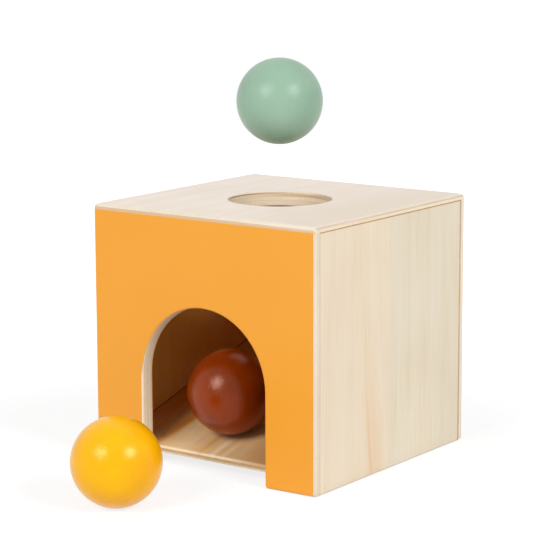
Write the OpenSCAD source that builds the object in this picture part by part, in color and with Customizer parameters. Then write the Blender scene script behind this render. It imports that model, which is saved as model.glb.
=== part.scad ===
/* [Box] */
// Width of the box, left to right
box_w = 140; // [115:1:200]
// Depth of the box, front to back
box_d = 139; // [115:1:200]
// Height of the box
box_h = 135; // [115:1:180]
// Thickness of the box's plywood
ply_t = 7.8; // [6:0.1:10]
// Height of the lid's edge that shows above the walls
lid_edge = 3; // [2.6:0.1:4.5]
// Depth of the front and back panels' edges that show beside the side panels
panel_edge = 3.8; // [2.8:0.1:5]
// How far the side panels are set in from the edges around them
side_inset = 0.3; // [0.1:0.1:0.8]
// Radius of the rounding along the level outer edges
edge_r = 2.1; // [0.8:0.1:2.5]
// Radius of the rounding along the upright outer edges
upright_r = 1.4; // [0.8:0.1:2.5]

/* [Drop hole] */
// How much wider the hole in the lid is than a ball
hole_play = 9; // [3:0.5:12]
// Radius of the rounding around the hole's upper rim
hole_round = 1; // [0.5:0.1:1.6]
// How far the hole's centre lies in front of the lid's centre
hole_forward = 1.5; // [0:0.5:10]

/* [Arch] */
// Width of the arched opening in the front panel
arch_w = 78; // [60:1:90]
// Height of the centre of the arch's round top above the ground
arch_spring = 48.2; // [35:0.2:60]
// How far the arch's middle lies to the right of the box's middle
arch_right = 0.3; // [-2:0.1:2]
// Radius of the rounding along the arch's front edge
arch_round = 1; // [0.5:0.1:1.6]

/* [Front coat] */
// Thickness of the orange coat on the front panel
coat_t = 0.2; // [0.1:0.05:0.4]
// Width of the bare strip to the left of the coat
coat_bare_left = 0.3; // [0.2:0.1:3]
// Width of the bare strip to the right of the coat
coat_bare_right = 1.4; // [0.2:0.1:3]
// Height of the bare strip below the coat
coat_bare_below = 0.8; // [0.5:0.1:3]
// Radius of the coat's lower corners
coat_corner_r = 2; // [1:0.5:5]

/* [Ramp] */
// Thickness of the ramp's plywood
ramp_t = 4; // [3:0.1:6]
// Height of the ramp's upper face where it meets the front panel
ramp_low = 9.3; // [8:0.1:14]
// Slope of the ramp
ramp_angle = 16.2; // [10:0.1:18]
// Radius of the rounding along the ramp's upper front edge
ramp_nose_r = 1.5; // [0.5:0.1:2.5]
// Depth of the grooves in the side panels that hold the ramp
groove_depth = 3; // [1.5:0.1:4]

/* [Balls] */
// Diameter of each ball
ball_d = 45; // [40:0.5:48]
// Distance of the yellow ball's centre from the front panel
yellow_forward = 66.5; // [60:0.5:110]
// How far the yellow ball lies to the left of the box's middle
yellow_left = 1.1; // [-15:0.1:15]
// Distance of the brown ball's centre behind the box's front
brown_back = 27.5; // [25:0.5:30]
// How far the brown ball lies to the left of the box's middle
brown_left = 2.6; // [-10:0.1:10]
// Height of the green ball's centre above the lid
green_up = 51.2; // [30:0.2:90]

/* [Clearances] */
// Play of the ramp in its grooves and between the front and back panels
ramp_play = 0.1; // [0.05:0.05:0.3]
// Running gap between a ball and the ramp
ball_play = 0.3; // [0.2:0.05:0.5]

/* [Hidden] */
$fn = 96;
overrun = 1;
inner_w = box_w - 2 * ply_t;
inner_d = box_d - 2 * ply_t;
wall_h = box_h - lid_edge;
hole_r = (ball_d + hole_play) / 2;
arch_r = arch_w / 2;
ball_r = ball_d / 2;
// The box stands back so that the whole set is centred on the origin
box_y = (yellow_forward + ball_r) / 2;
front_y = -box_d / 2;
inner_front_y = -inner_d / 2;
// The ramp's slanted length between the front and back panels, its ends cut square
ramp_run = inner_d - 2 * ramp_play;
ramp_len = (ramp_run - ramp_t * sin(ramp_angle)) / cos(ramp_angle);
ramp_w = inner_w + 2 * (groove_depth - ramp_play);
brown_y = front_y + brown_back;

// Height of the ramp's upper face at a depth y
function ramp_top(y) = ramp_low + (y - inner_front_y) * tan(ramp_angle);

// Moves a piece from the box's own middle to its place in the set
module in_box() {
    translate([0, box_y, 0]) children();
}

// A flat outline with rounded corners, centred
module rounded_outline(w, d, r) {
    square([w - 2 * r, d], center = true);
    square([w, d - 2 * r], center = true);
    for (x = [-1, 1], y = [-1, 1])
        translate([x * (w / 2 - r), y * (d / 2 - r)]) circle(r);
}

// What a rounding takes off a square corner that lies at the origin, with overrun past its sides
module corner_cut(r) {
    difference() {
        translate([-overrun, -overrun]) square([r + overrun, r + overrun]);
        translate([r, r]) circle(r);
    }
}

// The box's whole outside with every outer edge rounded, its front face set back by a depth
module rounded_block(set_back) {
    intersection() {
        translate([0, set_back / 2, 0])
            linear_extrude(box_h) rounded_outline(box_w, box_d - set_back, upright_r);
        translate([0, box_d / 2, box_h / 2]) rotate([90, 0, 0])
            linear_extrude(box_d) rounded_outline(box_w, box_h, edge_r);
        translate([-box_w / 2, set_back / 2, box_h / 2]) rotate([90, 0, 90])
            linear_extrude(box_w) rounded_outline(box_d - set_back, box_h, edge_r);
    }
}

// A panel that closes the front or the back: a full-width edge and a step between the side panels
module stepped_panel() {
    translate([-box_w / 2, front_y, 0]) cube([box_w, panel_edge, wall_h]);
    translate([-inner_w / 2, front_y, 0]) cube([inner_w, ply_t, wall_h]);
}

// The space that the arch takes out of the front, with its rounded front edge
module arch_cut() {
    translate([arch_right, 0, 0]) {
        rotate([90, 0, 0]) translate([0, 0, -inner_front_y - overrun])
            linear_extrude(ply_t + 2 * overrun) {
                translate([-arch_r, -overrun]) square([arch_w, arch_spring + overrun]);
                translate([0, arch_spring]) circle(arch_r);
            }
        translate([0, front_y, arch_spring]) rotate([-90, 0, 0])
            rotate_extrude() translate([arch_r, 0]) corner_cut(arch_round);
        for (side = [0, 1])
            mirror([side, 0, 0]) translate([arch_r, front_y, -overrun])
                linear_extrude(arch_spring + overrun) corner_cut(arch_round);
    }
}

module top_board() {
    color("#ede2d4") in_box() difference() {
        intersection() {
            rounded_block(0);
            union() {
                translate([-box_w / 2, front_y, wall_h]) cube([box_w, box_d, lid_edge]);
                translate([-inner_w / 2, inner_front_y, box_h - ply_t]) cube([inner_w, inner_d, ply_t]);
            }
        }
        translate([0, -hole_forward, box_h - ply_t - overrun])
            cylinder(r = hole_r, h = ply_t + 2 * overrun);
        translate([0, -hole_forward, box_h]) rotate([180, 0, 0])
            rotate_extrude() translate([hole_r, 0]) corner_cut(hole_round);
    }
}

// The whole panel lies back by the coat's thickness, so the coat stands on its face
module front_panel() {
    color("#e7d3b4") in_box() difference() {
        intersection() {
            rounded_block(coat_t);
            stepped_panel();
        }
        arch_cut();
    }
}

// The coat's outline between its bare strips and the lid, with the arch not yet cut
module coat_outline() {
    left = coat_bare_left - box_w / 2;
    right = box_w / 2 - coat_bare_right;
    difference() {
        translate([left, coat_bare_below]) square([right - left, wall_h - coat_bare_below]);
        translate([left, coat_bare_below]) corner_cut(coat_corner_r);
        translate([right, coat_bare_below]) mirror([1, 0]) corner_cut(coat_corner_r);
    }
}

// A skin that follows the front over the rounding of its edges
module front_coat() {
    wrap = max(edge_r, upright_r);
    color("#f7a83e") in_box() difference() {
        intersection() {
            rounded_block(0);
            translate([0, front_y + wrap, 0]) rotate([90, 0, 0])
                linear_extrude(wrap + overrun) coat_outline();
        }
        rounded_block(coat_t);
        arch_cut();
    }
}

module back_panel() {
    color("#e7d3b4") in_box() intersection() {
        rounded_block(0);
        mirror([0, 1, 0]) stepped_panel();
    }
}

// The ramp's side view, from its rounded upper front edge at the origin
module ramp_section() {
    difference() {
        translate([0, -ramp_t]) square([ramp_len, ramp_t]);
        mirror([0, 1]) corner_cut(ramp_nose_r);
    }
}

// Lays a side view at the ramp's place and slope, as wide as w
module on_ramp(w) {
    front = inner_front_y + ramp_play;
    translate([-w / 2, front, ramp_top(front)]) rotate([ramp_angle, 0, 0]) rotate([90, 0, 90])
        linear_extrude(w) children();
}

module ramp() {
    color("#dfc7a2") in_box() on_ramp(ramp_w) ramp_section();
}

// A wall between the front and back panels, with the groove that holds the ramp
module side_panel(side) {
    color("#e5d2b2") in_box() difference() {
        intersection() {
            rounded_block(0);
            translate([side > 0 ? inner_w / 2 : -box_w / 2 + side_inset, front_y + panel_edge, 0])
                cube([ply_t - side_inset, box_d - 2 * panel_edge, wall_h]);
        }
        on_ramp(inner_w + 2 * groove_depth)
            translate([-ramp_play, -ramp_t - ramp_play])
                square([ramp_len + 2 * ramp_play, ramp_t + 2 * ramp_play]);
    }
}

module left_panel() {
    side_panel(-1);
}

module right_panel() {
    side_panel(1);
}

module ball_yellow() {
    color("#fbc01d") in_box() translate([-yellow_left, front_y - yellow_forward, ball_r])
        sphere(ball_r);
}

module ball_brown() {
    color("#8b3f18") in_box()
        translate([-brown_left, brown_y, ramp_top(brown_y) + (ball_r + ball_play) / cos(ramp_angle)])
            sphere(ball_r);
}

module ball_green() {
    color("#9dbca5") in_box() translate([0, -hole_forward, box_h + green_up])
        sphere(ball_r);
}

top_board();
front_panel();
front_coat();
back_panel();
left_panel();
right_panel();
ramp();
ball_yellow();
ball_brown();
ball_green();
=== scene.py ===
import math
import bpy
from mathutils import Matrix, Vector


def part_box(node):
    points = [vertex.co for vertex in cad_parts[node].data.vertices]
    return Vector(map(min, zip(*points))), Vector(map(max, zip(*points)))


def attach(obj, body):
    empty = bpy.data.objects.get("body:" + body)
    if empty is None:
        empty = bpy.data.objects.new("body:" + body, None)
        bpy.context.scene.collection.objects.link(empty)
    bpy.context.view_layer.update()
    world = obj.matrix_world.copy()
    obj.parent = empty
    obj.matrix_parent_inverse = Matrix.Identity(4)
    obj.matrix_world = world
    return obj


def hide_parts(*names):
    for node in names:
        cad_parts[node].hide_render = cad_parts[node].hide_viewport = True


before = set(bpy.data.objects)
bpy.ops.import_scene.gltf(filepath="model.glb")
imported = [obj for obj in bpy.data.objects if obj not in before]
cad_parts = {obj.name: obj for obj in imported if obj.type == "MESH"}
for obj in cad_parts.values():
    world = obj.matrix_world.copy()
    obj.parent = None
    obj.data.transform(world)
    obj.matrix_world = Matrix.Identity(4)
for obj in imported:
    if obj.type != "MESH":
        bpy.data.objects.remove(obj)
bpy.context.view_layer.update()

mm = 0.001
closeEnough = 0.01 * mm      # places this near to each other are the same
edgeReach = 0.1 * mm         # points this near to an edge lie on it
facing = 0.9                 # a face looks along an axis when its unit normal reaches this far along it
front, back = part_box("front_coat")[0].y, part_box("back_panel")[1].y      # the box's own front and back
innerFront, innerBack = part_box("front_panel")[1].y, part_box("back_panel")[0].y
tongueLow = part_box("top_board")[0].z      # under the lid's tongue
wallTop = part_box("back_panel")[1].z
boxLow = Vector((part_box("top_board")[0].x, front, 0))
boxHigh = Vector((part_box("top_board")[1].x, back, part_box("top_board")[1].z))
innerX = boxHigh.x - (boxHigh.z - tongueLow)      # the walls are as thick as the lid
print("box", [round(v / mm, 1) for v in (*boxLow, *boxHigh)], "inner half width", round(innerX / mm, 1))

# The camera was fitted to ten straight edges of the box in the photograph
camera = {"azimuth": 36.126, "pitch": 10.241, "roll": -0.222,      # degrees; azimuth 0 faces the arch
          "focalPixels": 2162.5, "imageWidth": 533, "sensorWidth": 36,
          "distance": 1146.5, "aim": (-9.97, 44.5, 97.51)}         # mm


def makeCamera():
    turn, tilt, roll = (math.radians(camera[name]) for name in ("azimuth", "pitch", "roll"))
    backward = Vector((math.sin(turn) * math.cos(tilt), -math.cos(turn) * math.cos(tilt), math.sin(tilt)))
    level = Vector((math.cos(turn), math.sin(turn), 0))
    upright = backward.cross(level)
    right = math.cos(roll) * level + math.sin(roll) * upright
    up = math.cos(roll) * upright - math.sin(roll) * level
    lens = bpy.data.cameras.new("camera")
    lens.sensor_width = camera["sensorWidth"]
    lens.lens = camera["sensorWidth"] * camera["focalPixels"] / camera["imageWidth"]
    holder = bpy.data.objects.new("camera", lens)
    pose = Matrix((right, up, backward)).transposed().to_4x4()
    pose.translation = (Vector(camera["aim"]) + backward * camera["distance"]) * mm
    holder.matrix_world = pose
    bpy.context.scene.collection.objects.link(holder)
    bpy.context.scene.camera = holder


makeCamera()
print("camera placed")


# Tools for the modelling
rounding = {"mitreReach": 3,        # mm; a mitre ends within this of its corner
            "leastRise": 0.001,     # mm; a level edge rises less
            "profile": 0.5,         # a round one
            "smoothAngle": 32}      # degrees; an edge that turns more stays sharp


def startOn(piece):
    if bpy.context.object and bpy.context.object.mode != "OBJECT":
        bpy.ops.object.mode_set(mode="OBJECT")
    bpy.ops.object.select_all(action="DESELECT")
    piece.select_set(True)
    bpy.context.view_layer.objects.active = piece


def addBlock(name, centre, size, tilt=0):
    bpy.ops.object.select_all(action="DESELECT")
    bpy.ops.mesh.primitive_cube_add(size=1, location=centre, rotation=(tilt, 0, 0), scale=size)
    block = bpy.context.object
    block.name = name
    bpy.ops.object.transform_apply(location=True, rotation=True, scale=True)
    return block


def addBoard(name, low, high):
    low, high = Vector(low), Vector(high)
    return addBlock(name, (low + high) / 2, high - low)


def addCylinder(centre, radius, length, sides, tilt=0):
    bpy.ops.object.select_all(action="DESELECT")
    bpy.ops.mesh.primitive_cylinder_add(vertices=sides, radius=radius, depth=length, location=centre,
                                        rotation=(tilt, 0, 0))
    return bpy.context.object


def pickFaces(piece, rule):
    startOn(piece)
    bpy.ops.object.mode_set(mode="EDIT")
    bpy.ops.mesh.select_mode(type="FACE")
    bpy.ops.mesh.select_all(action="DESELECT")
    bpy.ops.object.mode_set(mode="OBJECT")
    for face in piece.data.polygons:
        face.select = rule(face.center, face.normal)
    bpy.ops.object.mode_set(mode="EDIT")


def pickEdges(piece, rule):
    startOn(piece)
    bpy.ops.object.mode_set(mode="EDIT")
    bpy.ops.mesh.select_mode(type="EDGE")
    bpy.ops.mesh.select_all(action="DESELECT")
    bpy.ops.object.mode_set(mode="OBJECT")
    points = piece.data.vertices
    for edge in piece.data.edges:
        edge.select = rule(*(points[i].co for i in edge.vertices))
    bpy.ops.object.mode_set(mode="EDIT")


def near(a, b, within=closeEnough):
    return abs(a - b) < within


def roundEdges(piece, rule, radius, segments):
    pickEdges(piece, rule)
    # without clamping, which a short neighbouring edge would shrink the whole rounding by
    bpy.ops.mesh.bevel(offset=radius, segments=segments, profile=rounding["profile"], affect="EDGES",
                       clamp_overlap=False)
    bpy.ops.object.mode_set(mode="OBJECT")


def roundUprights(piece, outer, radius, segments):
    # the upright edges at both ends of the face y = outer, with the mitres that level roundings leave there
    def onMitre(p):
        return near(boxHigh.x - abs(p.x), abs(p.y - outer)) and abs(p.y - outer) < rounding["mitreReach"] * mm

    def upright(a, b):
        return onMitre(a) and onMitre(b) and abs(a.z - b.z) > rounding["leastRise"] * mm

    roundEdges(piece, upright, radius, segments)


def cutAway(piece, cutter):
    startOn(piece)
    cut = piece.modifiers.new("cut", "BOOLEAN")
    cut.operation = "DIFFERENCE"
    cut.solver = "EXACT"
    cut.object = cutter
    bpy.ops.object.modifier_apply(modifier=cut.name)
    bpy.data.objects.remove(cutter)


def finishPanel(piece, material, slotName, *nodes):
    startOn(piece)
    bpy.ops.object.shade_smooth_by_angle(angle=math.radians(rounding["smoothAngle"]))
    flat = piece.modifiers.new("flat faces stay flat", "WEIGHTED_NORMAL")
    flat.keep_sharp = True
    bpy.ops.object.modifier_apply(modifier=flat.name)
    piece.data.materials.clear()
    piece.data.materials.append(material)
    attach(piece, "box")
    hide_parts(*nodes)
    print(piece.name, len(piece.data.vertices), "points")


# Tools for the materials

def hexColour(text):
    # sRGB to linear
    parts = (int(text[i:i + 2], 16) / 255 for i in (1, 3, 5))
    return (*(c / 12.92 if c <= 0.04045 else ((c + 0.055) / 1.055) ** 2.4 for c in parts), 1.0)


def addNode(tree, kind, settings, links={}):
    node = tree.nodes.new(kind)
    for name, value in settings.items():
        if name == "stops":
            while len(node.color_ramp.elements) < len(value):
                node.color_ramp.elements.new(1.0)
            for stop, (place, colour) in zip(node.color_ramp.elements, value):
                stop.position, stop.color = place, colour
        elif isinstance(name, str) and hasattr(node, name):
            setattr(node, name, value)
        else:
            node.inputs[name].default_value = value
    for name, source in links.items():
        tree.links.new(source, node.inputs[name])
    return node


def newMaterial(name):
    material = bpy.data.materials.new(name)
    material.use_nodes = True
    material.node_tree.nodes.clear()
    return material, material.node_tree


# Birch plywood, sanded, with a thin clear matt lacquer. The face veneer is pale, with broad soft bands and
# fine fibres along its grain, and changes tone at a seam between two leaves. A cut edge shows the plies as
# faint stripes: long grain pale, end grain a little darker and finely stippled, with thin brown glue lines.
plywood = {
    "plies": (0.45, 1.2, 1.5, 1.5, 1.5, 1.2, 0.45),              # mm, from the outer face inwards
    "glueLine": 0.14, "plyWobble": 0.1, "wobbleLength": 14,      # mm
    # the figure's mm across and along the grain, and the noise levels where it starts and where it is full;
    # the fibres are wider than real ones, which would be too fine to show
    "bands": {"width": 9, "length": 170, "from": 0.4, "to": 0.66, "detail": 2},
    "fibres": {"width": 0.9, "length": 34, "from": 0.38, "to": 0.75, "detail": 3},
    "stipple": {"width": 0.6, "length": 0.6, "from": 0.42, "to": 0.7, "detail": 1},
    "figureWaver": 0.3, "softDetail": 2,
    "driftSize": 60, "driftFrom": 0.35, "driftTo": 0.65,         # mm, and noise levels
    # inner: the innermost ply's tone, honey brown and much deeper than the wood, is painted shade for the
    # box's inside faces
    "face": "#f2e6dc", "core": "#ece3d6", "middle": "#ece3d6", "inner": "#e8aa50", "glue": "#d2b68e",
    "plyTones": None,                                            # or each ply's tone, from the face inwards
    "endGrain": "#e6d4ba", "endSharpness": 2.5,                  # endSharpness: a power
    "bandTone": "#fcf9f6", "fibreTone": "#fbf9f5", "stippleTone": "#ece1cf", "driftTone": "#fbf9f5",
    "seam": None, "leafTone": "#f8fdff",                         # seam: mm across the grain
    "leafShift": (41, 97, 23),                                   # mm from one leaf's figure to the other's
    "roundingShadeTone": None,
    "cutLine": None, "cutTone": "#c0a06a",                       # cutLine: mm deep at start, full, full, end
    "marks": (), "markRaggedness": 0.35,
    "markCore": 0.3, "markDepth": 3,                             # share of a mark at full strength, and mm
    "joint": None, "jointWidth": 0.8, "jointTone": "#ccaa80",    # joint: its two ends and its top, in mm
    "roughness": (0.45, 0.58), "relief": 0.06, "reliefStrength": 0.2, "ior": 1.46, "specular": 0.5}


def layBoard(tree, along, inward, facePoint):
    # x lies across the face grain, y along it and z is the depth under the outer face, in mm
    along, inward = Vector(along).normalized(), Vector(inward).normalized()
    lay = Matrix((along.cross(inward), along, inward))
    turn = lay.to_euler()
    place = addNode(tree, "ShaderNodeTexCoord", {})
    laid = addNode(tree, "ShaderNodeMapping", {"Rotation": turn, "Location": -(lay @ Vector(facePoint))},
                   {"Vector": place.outputs["Object"]})
    inMm = addNode(tree, "ShaderNodeVectorMath", {"operation": "SCALE", "Scale": 1 / mm},
                   {0: laid.outputs["Vector"]}).outputs["Vector"]
    outward = addNode(tree, "ShaderNodeMapping", {"vector_type": "VECTOR", "Rotation": turn},
                      {"Vector": place.outputs["Normal"]})
    parts = addNode(tree, "ShaderNodeSeparateXYZ", {}, {0: inMm}).outputs
    facingParts = addNode(tree, "ShaderNodeSeparateXYZ", {}, {0: outward.outputs["Vector"]}).outputs
    return inMm, parts, facingParts


def stackPlies(tree, look, inMm, depth):
    # the depth as a share of the board, with plies that wander a little, and what lies at each depth
    wander = addNode(tree, "ShaderNodeTexNoise", {
        "Scale": 1 / look["wobbleLength"], "Detail": look["softDetail"]}, {"Vector": inMm})
    wandered = addNode(tree, "ShaderNodeMath", {"operation": "MULTIPLY_ADD", 1: 2 * look["plyWobble"],
                                                2: -look["plyWobble"]}, {0: wander.outputs["Fac"]})
    wavering = addNode(tree, "ShaderNodeMath", {"operation": "ADD"}, {0: depth, 1: wandered.outputs[0]})
    thickness = sum(look["plies"])
    share = addNode(tree, "ShaderNodeMath", {"operation": "DIVIDE", 1: thickness}, {0: wavering.outputs[0]})
    tones = [look["face"], *[look["core"]] * (len(look["plies"]) - 2), look["inner"]]
    tones[len(tones) // 2] = look["middle"]
    tones = look["plyTones"] or tones
    glue, bottom = look["glueLine"], 0.0
    core = glue / 3      # the glue's tone is full this far to each side
    colourStops, crossStops = [(0.0, hexColour(tones[0]))], [(0.0, (0, 0, 0, 1))]
    for i, ply in enumerate(look["plies"][:-1]):
        bottom += ply
        for offset, tone in ((-glue, tones[i]), (-core, look["glue"]), (core, look["glue"]),
                             (glue, tones[i + 1])):
            colourStops.append(((bottom + offset) / thickness, hexColour(tone)))
        crossStops += [((bottom - core) / thickness, (i % 2,) * 3 + (1,)),
                       ((bottom + core) / thickness, ((i + 1) % 2,) * 3 + (1,))]
    plyColour = addNode(tree, "ShaderNodeValToRGB", {"stops": colourStops}, {0: share.outputs[0]})
    isCross = addNode(tree, "ShaderNodeValToRGB", {"stops": crossStops}, {0: share.outputs[0]})
    return share.outputs[0], plyColour.outputs["Color"], isCross.outputs["Color"]


def roundedLayer(tree, look, facingParts):
    # the rounded edges, dimmed by a cool grey: painted shade that tones down their highlight;
    # 4 z z (1 - z z) is nothing on the face and on the cut edge, 1 halfway between
    flat = addNode(tree, "ShaderNodeMath", {"operation": "MULTIPLY"},
                   {0: facingParts["Z"], 1: facingParts["Z"]}).outputs[0]
    steep = addNode(tree, "ShaderNodeMath", {"operation": "SUBTRACT", 0: 1.0}, {1: flat})
    both = addNode(tree, "ShaderNodeMath", {"operation": "MULTIPLY"}, {0: flat, 1: steep.outputs[0]})
    rounded = addNode(tree, "ShaderNodeMath", {"operation": "MULTIPLY", 1: 4.0, "use_clamp": True},
                      {0: both.outputs[0]})
    return rounded.outputs[0], look["roundingShadeTone"], "MULTIPLY"


def cutLineLayer(tree, look, share, aside):
    # a tan line where the face veneer is cut along its grain
    thickness = sum(look["plies"])
    darkStops = [(at / thickness, (value,) * 3 + (1,)) for at, value in zip(look["cutLine"], (0, 1, 1, 0))]
    dark = addNode(tree, "ShaderNodeValToRGB", {"stops": darkStops}, {0: share})
    cut = addNode(tree, "ShaderNodeMath", {"operation": "MULTIPLY"}, {0: dark.outputs["Color"], 1: aside})
    return cut.outputs[0], look["cutTone"], "MULTIPLY"


def markLayer(tree, look, mark, inMm, fibres):
    # a small oval or a long streak at one place on the outer face
    about = addNode(tree, "ShaderNodeMapping", {
        "vector_type": "TEXTURE", "Location": (*mark["at"], 0),
        "Rotation": (0, 0, math.radians(mark["lean"])),
        "Scale": (mark["width"], mark["length"], look["markDepth"])}, {"Vector": inMm})
    reach = addNode(tree, "ShaderNodeVectorMath", {"operation": "LENGTH"}, {0: about.outputs[0]})
    ragged = addNode(tree, "ShaderNodeMath", {"operation": "MULTIPLY_ADD", 1: look["markRaggedness"]},
                     {0: fibres, 2: reach.outputs["Value"]})
    mask = addNode(tree, "ShaderNodeMapRange", {"From Min": 1.0, "From Max": look["markCore"],
                                                "To Max": mark["strength"]}, {0: ragged.outputs[0]})
    return mask.outputs[0], mark["tone"], "MIX"


def jointLayer(tree, look, parts):
    # a thin dark line where the face meets its neighbours, at its left and right ends and its top
    low, high, top = look["joint"]
    off = addNode(tree, "ShaderNodeMath", {"operation": "SUBTRACT", 1: (low + high) / 2}, {0: parts["X"]})
    aside = addNode(tree, "ShaderNodeMath", {"operation": "ABSOLUTE"}, {0: off.outputs[0]})
    toSide = addNode(tree, "ShaderNodeMath", {"operation": "SUBTRACT", 0: (high - low) / 2},
                     {1: aside.outputs[0]})
    toTop = addNode(tree, "ShaderNodeMath", {"operation": "SUBTRACT", 0: top}, {1: parts["Y"]})
    nearest = addNode(tree, "ShaderNodeMath", {"operation": "MINIMUM"},
                      {0: toSide.outputs[0], 1: toTop.outputs[0]})
    mask = addNode(tree, "ShaderNodeMapRange", {"From Min": look["jointWidth"],
                                                "From Max": look["jointWidth"] / 2}, {0: nearest.outputs[0]})
    return mask.outputs[0], look["jointTone"], "MULTIPLY"


def makePlywood(name, along, inward, facePoint, changes={}):
    look = {**plywood, **changes}
    material, tree = newMaterial(name)
    inMm, parts, facingParts = layBoard(tree, along, inward, facePoint)
    share, plyColour, isCross = stackPlies(tree, look, inMm, parts["Z"])
    # end grain shows where a ply's own grain points out of the surface
    endAlong = addNode(tree, "ShaderNodeMath", {"operation": "ABSOLUTE"}, {0: facingParts["Y"]})
    endAcross = addNode(tree, "ShaderNodeMath", {"operation": "ABSOLUTE"}, {0: facingParts["X"]})
    endness = addNode(tree, "ShaderNodeMix", {"data_type": "FLOAT"},
                      {0: isCross, 2: endAlong.outputs[0], 3: endAcross.outputs[0]})
    endSharp = addNode(tree, "ShaderNodeMath", {"operation": "POWER", 1: look["endSharpness"]},
                       {0: endness.outputs[0]}).outputs[0]
    # the figure follows each ply's own grain, and starts afresh beyond a seam
    turned = addNode(tree, "ShaderNodeCombineXYZ", {}, {"X": parts["Y"], "Y": parts["X"], "Z": parts["Z"]})
    grain = addNode(tree, "ShaderNodeMix", {"data_type": "VECTOR"},
                    {0: isCross, 4: inMm, 5: turned.outputs[0]}).outputs[1]
    layers = []
    if look["seam"] is not None:
        beyond = addNode(tree, "ShaderNodeMath", {"operation": "LESS_THAN", 1: look["seam"]},
                         {0: parts["X"]}).outputs[0]
        moved = addNode(tree, "ShaderNodeVectorMath", {"operation": "SCALE", 0: look["leafShift"]},
                        {"Scale": beyond})
        grain = addNode(tree, "ShaderNodeVectorMath", {"operation": "ADD"}, {0: grain, 1: moved.outputs[0]})
        grain = grain.outputs[0]
        layers.append((beyond, look["leafTone"], "MULTIPLY"))

    def figure(size):
        finer = (1 / size["width"], 1 / size["length"], 1 / size["width"])
        stretched = addNode(tree, "ShaderNodeVectorMath", {"operation": "MULTIPLY", 1: finer}, {0: grain})
        noise = addNode(tree, "ShaderNodeTexNoise", {
            "Scale": 1.0, "Detail": size["detail"], "Distortion": look["figureWaver"]},
            {"Vector": stretched.outputs[0]})
        return addNode(tree, "ShaderNodeMapRange", {"From Min": size["from"], "From Max": size["to"]},
                       {0: noise.outputs["Fac"]}).outputs[0]

    bands, fibres, stipple = figure(look["bands"]), figure(look["fibres"]), figure(look["stipple"])
    stippled = addNode(tree, "ShaderNodeMath", {"operation": "MULTIPLY"}, {0: stipple, 1: endSharp})
    drift = addNode(tree, "ShaderNodeTexNoise", {
        "Scale": 1 / look["driftSize"], "Detail": look["softDetail"]}, {"Vector": inMm})
    drifting = addNode(tree, "ShaderNodeMapRange", {
        "From Min": look["driftFrom"], "From Max": look["driftTo"]}, {0: drift.outputs["Fac"]})
    for mask, toneName in ((bands, "bandTone"), (fibres, "fibreTone"), (stippled.outputs[0], "stippleTone"),
                           (drifting.outputs[0], "driftTone")):
        layers.append((mask, look[toneName], "MULTIPLY"))
    if look["roundingShadeTone"]:
        layers.append(roundedLayer(tree, look, facingParts))
    if look["cutLine"]:
        layers.append(cutLineLayer(tree, look, share, endAcross.outputs[0]))
    layers += [markLayer(tree, look, mark, inMm, fibres) for mark in look["marks"]]
    if look["joint"]:
        layers.append(jointLayer(tree, look, parts))
    colour = addNode(tree, "ShaderNodeMix", {"data_type": "RGBA", 7: hexColour(look["endGrain"])},
                     {0: endSharp, 6: plyColour}).outputs[2]
    for mask, tone, blend in layers:
        colour = addNode(tree, "ShaderNodeMix", {
            "data_type": "RGBA", "blend_type": blend, 7: hexColour(tone)}, {0: mask, 6: colour}).outputs[2]
    smooth, rough = look["roughness"]
    sheen = addNode(tree, "ShaderNodeMapRange", {"To Min": smooth, "To Max": rough}, {0: fibres})
    bump = addNode(tree, "ShaderNodeBump", {
        "Strength": look["reliefStrength"], "Distance": look["relief"] * mm}, {"Height": fibres})
    wood = addNode(tree, "ShaderNodeBsdfPrincipled", {
        "IOR": look["ior"], "Specular IOR Level": look["specular"]},
        {"Base Color": colour, "Roughness": sheen.outputs[0], "Normal": bump.outputs[0]})
    addNode(tree, "ShaderNodeOutputMaterial", {}, {"Surface": wood.outputs[0]})
    return material


# Acrylic lacquer sprayed in a flat coat: even orange, satin, with the fine pimple of a sprayed film
orange = {"colour": "#e89e29", "deep": "#e69821", "drift": 45, "driftDetail": 1,      # mm
          "pimple": 0.9, "pimpleDetail": 2, "relief": 0.05, "reliefStrength": 0.2,    # mm
          "roughness": (0.37, 0.49), "ior": 1.49}


def makeOrange():
    material, tree = newMaterial("sprayedOrangeLacquer")
    place = addNode(tree, "ShaderNodeTexCoord", {})
    inMm = addNode(tree, "ShaderNodeVectorMath", {"operation": "SCALE", "Scale": 1 / mm},
                   {0: place.outputs["Object"]}).outputs["Vector"]
    drift = addNode(tree, "ShaderNodeTexNoise", {
        "Scale": 1 / orange["drift"], "Detail": orange["driftDetail"]}, {"Vector": inMm})
    colour = addNode(tree, "ShaderNodeMix", {"data_type": "RGBA", 6: hexColour(orange["colour"]),
                                             7: hexColour(orange["deep"])}, {0: drift.outputs["Fac"]})
    pimple = addNode(tree, "ShaderNodeTexNoise", {
        "Scale": 1 / orange["pimple"], "Detail": orange["pimpleDetail"]}, {"Vector": inMm}).outputs["Fac"]
    bump = addNode(tree, "ShaderNodeBump", {
        "Strength": orange["reliefStrength"], "Distance": orange["relief"] * mm}, {"Height": pimple})
    smooth, rough = orange["roughness"]
    sheen = addNode(tree, "ShaderNodeMapRange", {"To Min": smooth, "To Max": rough}, {0: pimple})
    coat = addNode(tree, "ShaderNodeBsdfPrincipled", {"IOR": orange["ior"]}, {
        "Base Color": colour.outputs[2], "Roughness": sheen.outputs[0], "Normal": bump.outputs[0]})
    addNode(tree, "ShaderNodeOutputMaterial", {}, {"Surface": coat.outputs[0]})
    return material


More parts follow.
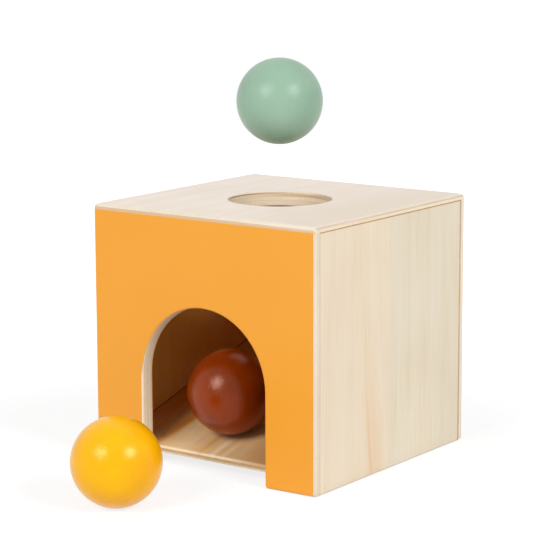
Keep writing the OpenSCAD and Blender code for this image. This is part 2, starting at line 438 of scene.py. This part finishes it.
# Turned beech balls dipped in satin lacquer: the grain shows through as faint lines, and the film's fine peel
# breaks the highlights into speckles
balls = {"ball_yellow": {"name": "dippedYellowLacquer", "colour": "#f2b303", "deep": "#eea802",
                         "roughness": (0.12, 0.22), "peelHeight": 0.12, "specular": 0.38, "tint": "#ffe6b4"},
         "ball_brown": {"name": "dippedBrownLacquer", "colour": "#8f3606", "deep": "#7a2b03",
                        "roughness": (0.09, 0.19), "peelHeight": 0.12, "specular": 0.38, "tint": "#ffd8c0"},
         "ball_green": {"name": "dippedSageLacquer", "colour": "#91af99", "deep": "#89a892",
                        "roughness": (0.26, 0.36), "peelHeight": 0.1, "specular": 0.25, "tint": "#ffffff"}}
ballFinish = {"grainWidth": 1.1, "grainLength": 14, "drift": 16, "peelSize": 0.7,      # mm
              "grainDetail": 3, "grainWaver": 0.4, "grainShare": 0.3, "softDetail": 2,
              "deepFrom": 0.45, "deepTo": 0.85,                                        # noise levels
              "ior": 1.5}


def makeBallLacquer(node):
    look = {**ballFinish, **balls[node]}
    material, tree = newMaterial(look["name"])
    low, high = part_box(node)
    place = addNode(tree, "ShaderNodeTexCoord", {})
    centred = addNode(tree, "ShaderNodeMapping", {"Location": -(Vector(low) + Vector(high)) / 2},
                      {"Vector": place.outputs["Object"]})
    inMm = addNode(tree, "ShaderNodeVectorMath", {"operation": "SCALE", "Scale": 1 / mm},
                   {0: centred.outputs["Vector"]}).outputs["Vector"]
    grainPlace = addNode(tree, "ShaderNodeVectorMath", {"operation": "MULTIPLY", 1: (
        1 / look["grainWidth"], 1 / look["grainWidth"], 1 / look["grainLength"])}, {0: inMm})
    grain = addNode(tree, "ShaderNodeTexNoise", {
        "Scale": 1.0, "Detail": look["grainDetail"], "Distortion": look["grainWaver"]},
        {"Vector": grainPlace.outputs[0]}).outputs["Fac"]
    drift = addNode(tree, "ShaderNodeTexNoise", {"Scale": 1 / look["drift"], "Detail": look["softDetail"]},
                    {"Vector": inMm})
    mixed = addNode(tree, "ShaderNodeMath", {"operation": "MULTIPLY_ADD", 1: look["grainShare"]},
                    {0: grain, 2: drift.outputs["Fac"]})
    mask = addNode(tree, "ShaderNodeMapRange", {"From Min": look["deepFrom"], "From Max": look["deepTo"]},
                   {0: mixed.outputs[0]})
    colour = addNode(tree, "ShaderNodeMix", {"data_type": "RGBA", 6: hexColour(look["colour"]),
                                             7: hexColour(look["deep"])}, {0: mask.outputs[0]})
    peel = addNode(tree, "ShaderNodeTexNoise", {"Scale": 1 / look["peelSize"], "Detail": look["softDetail"]},
                   {"Vector": inMm})
    bump = addNode(tree, "ShaderNodeBump", {"Strength": 1.0, "Distance": look["peelHeight"] * mm},
                   {"Height": peel.outputs["Fac"]})
    smooth, rough = look["roughness"]
    sheen = addNode(tree, "ShaderNodeMapRange", {"To Min": smooth, "To Max": rough}, {0: grain})
    lacquer = addNode(tree, "ShaderNodeBsdfPrincipled", {
        "IOR": look["ior"], "Specular IOR Level": look["specular"], "Specular Tint": hexColour(look["tint"])},
        {"Base Color": colour.outputs[2], "Roughness": sheen.outputs[0], "Normal": bump.outputs[0]})
    addNode(tree, "ShaderNodeOutputMaterial", {}, {"Surface": lacquer.outputs[0]})
    return material


# The lid: a plate with rounded edges, a tongue that sits between the walls, and the drop hole
lid = {"edgeRadius": 2.1, "uprightRadius": 1.4, "edgeSegments": 8,
       "holeRadius": 27, "holeForward": 1.5, "holeRound": 1.0, "holeRoundSegments": 5, "holeSides": 160,
       "cutterLength": 4,      # in thicknesses of the lid
       "wood": {"plies": (1.45, 1.5, 2.0, 2.5, 0.35), "cutLine": (0.45, 0.75, 1.2, 1.45),
                # the last tone, the honey brown of the lid's underside, is painted shade of the box's inside
                "plyTones": ("#f2e6dc", "#d5ba9b", "#ece0ce", "#e4d6c0", "#e8aa50"),
                # the grey on the lid's rounded edges is painted shade that dims their highlight
                "endGrain": "#f3e6cc", "stippleTone": "#f2e8d8", "roundingShadeTone": "#e9edef",
                "marks": ({"at": (-66, 45), "width": 60, "length": 220, "lean": 0,      # at: mm left and back
                           "tone": "#e2d3c1", "strength": 0.9},)}}


def makeLid():
    ply = boxHigh.z - tongueLow
    hole = (0, (front + back) / 2 - lid["holeForward"] * mm)
    radius = lid["holeRadius"] * mm
    plate = addBoard("lidBoard", (boxLow.x, boxLow.y, wallTop), boxHigh)
    pickFaces(plate, lambda centre, normal: normal.z < -facing)
    bpy.ops.mesh.inset(thickness=ply)
    bpy.ops.mesh.extrude_region_move(TRANSFORM_OT_translate={"value": (0, 0, tongueLow - wallTop)})

    def onTop(p):
        return near(p.z, boxHigh.z)

    def onRim(p):
        return onTop(p) and near(math.hypot(p.x - hole[0], p.y - hole[1]), radius, edgeReach)

    roundEdges(plate, lambda a, b: onTop(a) and onTop(b), lid["edgeRadius"] * mm, lid["edgeSegments"])
    for outer in (front, back):
        roundUprights(plate, outer, lid["uprightRadius"] * mm, lid["edgeSegments"])
    cutAway(plate, addCylinder((*hole, boxHigh.z), radius, lid["cutterLength"] * ply, lid["holeSides"]))
    roundEdges(plate, lambda a, b: onRim(a) and onRim(b), lid["holeRound"] * mm, lid["holeRoundSegments"])
    wood = makePlywood("birchPlywoodLid", (0, 1, 0), (0, 0, -1), (0, 0, boxHigh.z), lid["wood"])
    finishPanel(plate, wood, "plywood", "top_board")


# Front and back panels: a full-width plate and a tongue between the side panels
panels = {"edgeRadius": 2.1, "uprightRadius": 1.4, "edgeSegments": 8, "plateDepth": 3.8,
          "archRadius": 39, "archSpring": 48.2, "archRight": 0.3, "archSides": 128,
          "archRound": 1.0, "archRoundSegments": 8,
          "frontWood": {"core": "#f0e5d3", "middle": "#ebddc6", "endGrain": "#f0e0c4",
                        "stippleTone": "#f3ebdf",
                        "seam": -60, "leafTone": "#f3f5fb"}}      # the second leaf: the bare strip only


def makeEndPanel(name, outer, step, tongueEnd):
    # step points from the outer face into the box
    depth = panels["plateDepth"] * mm * step
    plateEnd = (front if step > 0 else back) + depth
    plate = addBoard(name, (boxLow.x, min(outer, plateEnd), 0), (boxHigh.x, max(outer, plateEnd), wallTop))
    startOn(plate)
    bpy.ops.object.mode_set(mode="EDIT")
    for side in (-innerX, innerX):
        bpy.ops.mesh.select_all(action="SELECT")
        bpy.ops.mesh.bisect(plane_co=(side, 0, 0), plane_no=(1, 0, 0))
    pickFaces(plate, lambda centre, normal: normal.y * step > facing and abs(centre.x) < innerX)
    bpy.ops.mesh.extrude_region_move(TRANSFORM_OT_translate={"value": (0, tongueEnd - plateEnd, 0)})

    def foot(a, b):
        outside = near(a.y, outer) and near(b.y, outer)
        aside = near(abs(a.x), boxHigh.x) and near(a.x, b.x)
        return near(a.z, 0) and near(b.z, 0) and (outside or aside)

    roundEdges(plate, foot, panels["edgeRadius"] * mm, panels["edgeSegments"])
    roundUprights(plate, outer, panels["uprightRadius"] * mm, panels["edgeSegments"])
    return plate


def makeFrontPanel():
    radius, spring, middle = (panels[name] * mm for name in ("archRadius", "archSpring", "archRight"))
    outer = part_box("front_panel")[0].y
    plate = makeEndPanel("frontPanel", outer, 1, innerFront)
    cutAway(plate, addBoard("archLegs", (middle - radius, outer - radius, -radius),
                            (middle + radius, outer + radius, spring)))
    cutAway(plate, addCylinder((middle, outer, spring), radius, 2 * radius, panels["archSides"],
                               math.radians(90)))
    edge = panels["edgeRadius"] * mm

    def onRim(p):
        upright = near(abs(p.x - middle), radius)
        onLeg = upright and p.z < spring + edgeReach
        onTop = near(math.hypot(p.x - middle, p.z - spring), radius) and p.z > spring - edgeReach
        onFoot = upright and p.z < edge and near(math.hypot(p.y - outer - edge, p.z - edge), edge)
        return (near(p.y, outer) and (onLeg or onTop)) or onFoot

    roundEdges(plate, lambda a, b: onRim(a) and onRim(b), panels["archRound"] * mm,
               panels["archRoundSegments"])
    return plate


# The orange coat: the front panel's own face, lifted by the thickness of the film. It wraps over the panel's
# outer edges, stops on the arch's rounded edge, and its lower corners are rounded. Its bare strip widens
# outwards below the right foot.
coat = {"thickness": 0.2, "bareLeft": 0.3, "bareRight": 1.4, "bareBelow": 0.3,
        "outerEnd": -0.25, "rimLeft": -0.999, "rimTop": -0.5,      # the normal's y where the film ends
        "rimFrom": 49, "rimTo": 72,                                # mm up, where rimLeft turns into rimTop
        "cornerRadius": 1.6, "cornerTurns": (22.5, 45, 67.5),      # mm and degrees
        "footLean": 2.2, "footLeanFrom": 45}                       # degrees and mm


def makeCoat(plate):
    startOn(plate)
    bpy.ops.object.duplicate()
    film = bpy.context.object
    film.name = "frontCoat"
    left, right = boxLow.x + coat["bareLeft"] * mm, boxHigh.x - coat["bareRight"] * mm
    low, radius, lean = coat["bareBelow"] * mm, coat["cornerRadius"] * mm, math.radians(coat["footLean"])
    # the planes that trim the film, each a point and the way out
    limits = [((left, 0, 0), (-1, 0, 0)), ((right, 0, 0), (1, 0, 0)), ((0, 0, low), (0, 0, -1)),
              ((coat["footLeanFrom"] * mm, 0, low), (math.sin(lean), 0, -math.cos(lean)))]
    footRise = (right - coat["footLeanFrom"] * mm) * math.tan(lean)
    for turn in coat["cornerTurns"]:
        outX, outZ = math.sin(math.radians(turn)), math.cos(math.radians(turn))
        limits += [((left + radius * (1 - outX), 0, low + radius * (1 - outZ)), (-outX, 0, -outZ)),
                   ((right - radius * (1 - outX), 0, low + footRise + radius * (1 - outZ)), (outX, 0, -outZ))]
    bpy.ops.object.mode_set(mode="EDIT")
    for point, outward in limits:
        bpy.ops.mesh.select_all(action="SELECT")
        bpy.ops.mesh.bisect(plane_co=point, plane_no=outward, clear_outer=True)
    archReach = (panels["archRadius"] + panels["archRound"]) * mm

    def bare(centre, normal):
        rise, aside = centre.z - panels["archSpring"] * mm, centre.x - panels["archRight"] * mm
        if math.hypot(aside, max(rise, 0)) >= archReach:
            return normal.y > coat["outerEnd"]
        upward = (centre.z / mm - coat["rimFrom"]) / (coat["rimTo"] - coat["rimFrom"])
        share = 1 if aside > 0 else min(max(upward, 0), 1)
        return normal.y > coat["rimLeft"] + (coat["rimTop"] - coat["rimLeft"]) * share

    pickFaces(film, bare)
    bpy.ops.mesh.delete(type="FACE")
    bpy.ops.object.mode_set(mode="OBJECT")
    skin = film.modifiers.new("film", "SOLIDIFY")
    skin.thickness = coat["thickness"] * mm
    skin.offset = 1
    bpy.ops.object.modifier_apply(modifier=skin.name)
    return film


# The ramp, and the grooves in the side panels that hold it. The marks on its upper face, streaks of its
# figure and patches of painted light and shade, are in mm across it, towards the left, and up the slope from
# its front edge. Its joint line runs along its sides only, so the line's top is set far off.
ramp = {
    "thickness": 4.0, "angle": 16.2, "low": 9.3, "noseRadius": 1.5, "noseSegments": 6,
    "footRadius": 0.3, "footSegments": 3, "play": 0.1, "grooveDepth": 3.0,
    "wood": {
        "plies": (0.12, 1.1, 1.56, 1.1, 0.12), "face": "#e3bc88", "inner": "#dcb98b", "core": "#ead9bf",
        "middle": "#dcbd90", "endGrain": "#d3b285", "specular": 0.15,
        "joint": (-innerX / mm, innerX / mm, 1000), "jointWidth": 0.7, "jointTone": "#8a5a2c",
        "marks": (
            {"at": (0, 8), "width": 3.4, "length": 18, "lean": 4, "tone": "#f4e4ca", "strength": 0.55},
            {"at": (-6.5, 6), "width": 2.6, "length": 16, "lean": 4, "tone": "#f2dfc3", "strength": 0.4},
            {"at": (36, 24), "width": 5, "length": 34, "lean": 3, "tone": "#cd8428", "strength": 0.9},
            {"at": (8, 14), "width": 3, "length": 24, "lean": 3, "tone": "#cf9446", "strength": 0.6},
            {"at": (-3, 12), "width": 1.2, "length": 20, "lean": 3, "tone": "#d6a560", "strength": 0.5},
            # a pale patch at the front left, where light comes in through the arch: painted light
            {"at": (22, 8), "width": 14, "length": 18, "lean": 0, "tone": "#f0d6ab", "strength": 0.5},
            # the left part along the wall, in the left leg's shadow: painted shade, deep orange
            {"at": (54, 60), "width": 30, "length": 80, "lean": 0, "tone": "#c97712", "strength": 0.98},
            # the far part of the board, deep in the box: painted shade
            {"at": (30, 104), "width": 80, "length": 78, "lean": 0, "tone": "#d08428", "strength": 0.85},
            # the front right, beside the brown ball and the right wall: painted shade
            {"at": (-34, 10), "width": 26, "length": 44, "lean": 0, "tone": "#b98959", "strength": 0.88})}}
slope = math.radians(ramp["angle"])
alongRamp = Vector((0, math.cos(slope), math.sin(slope)))
acrossRamp = Vector((0, -math.sin(slope), math.cos(slope)))
rampRun = innerBack - innerFront - 2 * ramp["play"] * mm
rampLength = (rampRun - ramp["thickness"] * mm * math.sin(slope)) / math.cos(slope)
rampStart = Vector((0, innerFront + ramp["play"] * mm, (ramp["low"] + ramp["play"] * math.tan(slope)) * mm))


def addRampBlock(name, halfWidth, play):
    size = Vector((2 * halfWidth, rampLength + 2 * play, ramp["thickness"] * mm + 2 * play))
    centre = rampStart + alongRamp * rampLength / 2 - acrossRamp * ramp["thickness"] * mm / 2
    return addBlock(name, centre, size, slope)


def makeRamp():
    board = addRampBlock("rampBoard", innerX + (ramp["grooveDepth"] - ramp["play"]) * mm, 0)
    underside = rampStart - acrossRamp * ramp["thickness"] * mm

    def along(corner):
        return lambda a, b: all((Vector((0, p.y, p.z)) - corner).length < edgeReach for p in (a, b))

    roundEdges(board, along(underside), ramp["footRadius"] * mm, ramp["footSegments"])
    roundEdges(board, along(rampStart), ramp["noseRadius"] * mm, ramp["noseSegments"])
    return board


# Side panels: set in a little from the edges around them, with a shallow arris on the edges that show. The
# marks on the right side's veneer, streaks of its figure and one patch of painted light, are in mm across the
# grain, towards the front, and up from the ground.
sidePanel = {
    "arris": 0.35, "arrisSegments": 3, "footRadius": 1.8, "footSegments": 6,
    "arrisFrom": 5,      # mm up; below it the foot has its own rounding
    "wood": {"face": "#e7d8c2", "bandTone": "#fdfaf6"},
    "leftWood": {"seam": 22},
    "rightWood": {
        "seam": -40.7,
        "joint": (-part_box("right_panel")[1].y / mm, -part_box("right_panel")[0].y / mm, wallTop / mm),
        "marks": (
            {"at": (-25.3, 0), "width": 2.4, "length": 64, "lean": -6.4, "tone": "#deb488", "strength": 0.8},
            {"at": (-19.5, 66), "width": 1.8, "length": 50, "lean": -2, "tone": "#dfc29c", "strength": 0.4},
            {"at": (-30.5, -6), "width": 9.5, "length": 96, "lean": -6, "tone": "#e2c4a2", "strength": 0.75},
            # a lighter patch low at the back: painted light
            {"at": (-64, 6), "width": 44, "length": 56, "lean": 0, "tone": "#efe1cc", "strength": 0.35},
            {"at": (-30, 50), "width": 0.8, "length": 18, "lean": -22, "tone": "#ddc9ae", "strength": 0.6},
            {"at": (-33, 33), "width": 0.8, "length": 16, "lean": -20, "tone": "#ddc9ae", "strength": 0.6},
            {"at": (-60, 52), "width": 3, "length": 36, "lean": 1, "tone": "#d9c4a0", "strength": 0.45},
            {"at": (16.3, 3.5), "width": 0.7, "length": 2.2, "lean": 12, "tone": "#d8bb95",
             "strength": 0.9})}}


def makeSidePanel(name, node, side):
    low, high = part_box(node)
    outer = max(low.x * side, high.x * side) * side
    board = addBoard(name, low, high)

    def foot(a, b):
        return all(near(p.x, outer) and near(p.z, 0) for p in (a, b))

    def arris(a, b):
        return near(a.x, outer) and near(b.x, outer) and max(a.z, b.z) >= sidePanel["arrisFrom"] * mm

    roundEdges(board, foot, sidePanel["footRadius"] * mm, sidePanel["footSegments"])
    roundEdges(board, arris, sidePanel["arris"] * mm, sidePanel["arrisSegments"])
    cutAway(board, addRampBlock("groove", innerX + ramp["grooveDepth"] * mm, ramp["play"] * mm))
    return board


print("modelling starts")
makeLid()
frontPlate = makeFrontPanel()
film = makeCoat(frontPlate)
backPlate = makeEndPanel("backPanel", back, -1, innerBack)
frontWood = makePlywood("birchPlywoodFront", (0, 0, 1), (0, 1, 0), (0, front, 0), panels["frontWood"])
finishPanel(frontPlate, frontWood, "plywood", "front_panel")
finishPanel(film, makeOrange(), "orange_coat", "front_coat")
backWood = makePlywood("birchPlywoodBack", (0, 0, 1), (0, -1, 0), (0, back, 0))
finishPanel(backPlate, backWood, "plywood", "back_panel")
leftWood = makePlywood("birchPlywoodLeft", (0, 0, 1), (1, 0, 0), (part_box("left_panel")[0].x, 0, 0),
                       {**sidePanel["wood"], **sidePanel["leftWood"]})
finishPanel(makeSidePanel("leftPanel", "left_panel", -1), leftWood, "plywood", "left_panel")
rightWood = makePlywood("birchPlywoodRight", (0, 0, 1), (-1, 0, 0), (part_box("right_panel")[1].x, 0, 0),
                        {**sidePanel["wood"], **sidePanel["rightWood"]})
finishPanel(makeSidePanel("rightPanel", "right_panel", 1), rightWood, "plywood", "right_panel")
rampWood = makePlywood("birchPlywoodRamp", alongRamp, -acrossRamp, rampStart, ramp["wood"])
finishPanel(makeRamp(), rampWood, "ramp_plywood", "ramp")

for node in balls:
    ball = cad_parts[node]
    ball.data.materials.clear()
    ball.data.materials.append(makeBallLacquer(node))
# the photograph shows no shadow on the lid of the ball in mid-air
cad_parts["ball_green"].visible_shadow = False
print("balls lacquered")


# A white paper floor and a white surround. The camera and reflections see the surround as white; the paper's
# own tone is lifted for them too, so that it is white where it is lit and keeps a soft shadow.
studio = {"floorSize": 2.4, "paper": "#e9e9e9", "paperSeen": "#858585", "dome": 0.4,      # floorSize: m
          "glowNear": 0.8, "glowFar": 1.0,
          "shadowReach": 0.16, "whiteFrom": 0.42,      # m from the middle of the set
          # degrees, m and W
          "softboxes": ({"azimuth": -6, "elevation": 32, "distance": 3, "size": 1.3, "power": 49},
                        {"azimuth": 79, "elevation": 33, "distance": 3, "size": 1.0, "power": 48})}


def addSeenRays(tree):
    rays = addNode(tree, "ShaderNodeLightPath", {})
    direct = addNode(tree, "ShaderNodeMath", {"operation": "MAXIMUM"},
                     {0: rays.outputs["Is Camera Ray"], 1: rays.outputs["Is Glossy Ray"]})
    return addNode(tree, "ShaderNodeMath", {"operation": "MAXIMUM"},
                   {0: direct.outputs[0], 1: rays.outputs["Is Transmission Ray"]}).outputs[0]


def makeStudio():
    bpy.ops.object.select_all(action="DESELECT")
    bpy.ops.mesh.primitive_plane_add(size=studio["floorSize"], location=(0, 0, 0))
    floor = bpy.context.object
    floor.name = "floor"
    material, tree = newMaterial("whitePaperSweep")
    seen = addSeenRays(tree)
    tone = addNode(tree, "ShaderNodeMix", {"data_type": "RGBA", 6: hexColour(studio["paper"]),
                                           7: hexColour(studio["paperSeen"])}, {0: seen})
    paper = addNode(tree, "ShaderNodeBsdfDiffuse", {}, {"Color": tone.outputs[2]})
    place = addNode(tree, "ShaderNodeTexCoord", {})
    away = addNode(tree, "ShaderNodeVectorMath", {"operation": "LENGTH"}, {0: place.outputs["Object"]})
    level = addNode(tree, "ShaderNodeMapRange", {
        "From Min": studio["shadowReach"], "From Max": studio["whiteFrom"],
        "To Min": studio["glowNear"], "To Max": studio["glowFar"]}, {0: away.outputs["Value"]})
    glow = addNode(tree, "ShaderNodeMath", {"operation": "MULTIPLY"}, {0: seen, 1: level.outputs[0]})
    light = addNode(tree, "ShaderNodeEmission", {}, {"Strength": glow.outputs[0]})
    both = addNode(tree, "ShaderNodeAddShader", {}, {0: paper.outputs[0], 1: light.outputs[0]})
    addNode(tree, "ShaderNodeOutputMaterial", {}, {"Surface": both.outputs[0]})
    floor.data.materials.append(material)
    world = bpy.data.worlds.new("studio")
    bpy.context.scene.world = world
    world.use_nodes = True
    tree = world.node_tree
    tree.nodes.clear()
    strength = addNode(tree, "ShaderNodeMix", {"data_type": "FLOAT", 2: studio["dome"], 3: 1.0},
                       {0: addSeenRays(tree)})
    dome = addNode(tree, "ShaderNodeBackground", {"Color": (1, 1, 1, 1)}, {"Strength": strength.outputs[0]})
    addNode(tree, "ShaderNodeOutputWorld", {}, {"Surface": dome.outputs[0]})
    target = Vector((0, (front + back) / 2, boxHigh.z / 2))
    for box in studio["softboxes"]:
        turn, lift = math.radians(box["azimuth"]), math.radians(box["elevation"])
        outward = Vector((math.sin(turn) * math.cos(lift), -math.cos(turn) * math.cos(lift), math.sin(lift)))
        lamp = bpy.data.lights.new("softbox", "AREA")
        lamp.shape, lamp.size, lamp.energy = "DISK", box["size"], box["power"]
        holder = bpy.data.objects.new("softbox", lamp)
        holder.location = target + outward * box["distance"]
        holder.rotation_euler = (-outward).to_track_quat("-Z", "Y").to_euler()
        bpy.context.scene.collection.objects.link(holder)


makeStudio()
print("studio lit")

bpy.context.scene.view_settings.view_transform = "Standard"
